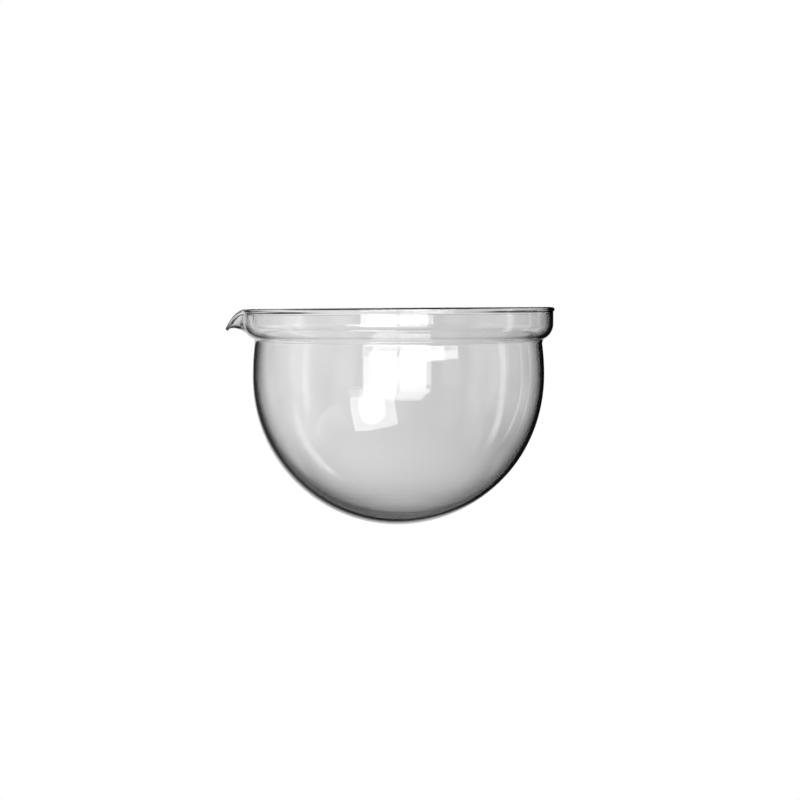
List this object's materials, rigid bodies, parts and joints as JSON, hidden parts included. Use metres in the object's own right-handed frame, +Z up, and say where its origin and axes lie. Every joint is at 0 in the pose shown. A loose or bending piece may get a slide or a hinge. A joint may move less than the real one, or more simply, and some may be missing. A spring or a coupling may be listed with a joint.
{
  "type": "glass pouring bowl",
  "caption": "Round-bottomed clear glass bowl with a collar that hangs it in a ring, an open fire-polished rim and a drawn pouring lip.",
  "frame": {"origin": "on the vessel's axis, in the plane of the neck under the collar, where a supporting ring catches the collar", "axes": "+Z up along the vessel's axis, out of its mouth; the pouring lip points along -X; Y is across the mouth"},
  "size_m": [0.18, 0.1708, 0.1185],
  "materials": {
    "clear_glass": "clear borosilicate glass, smooth inside and out, with a fire-polished rim"
  },
  "bodies": {
    "root": {"glass_bowl": "clear_glass"}
  },
  "joints": []
}
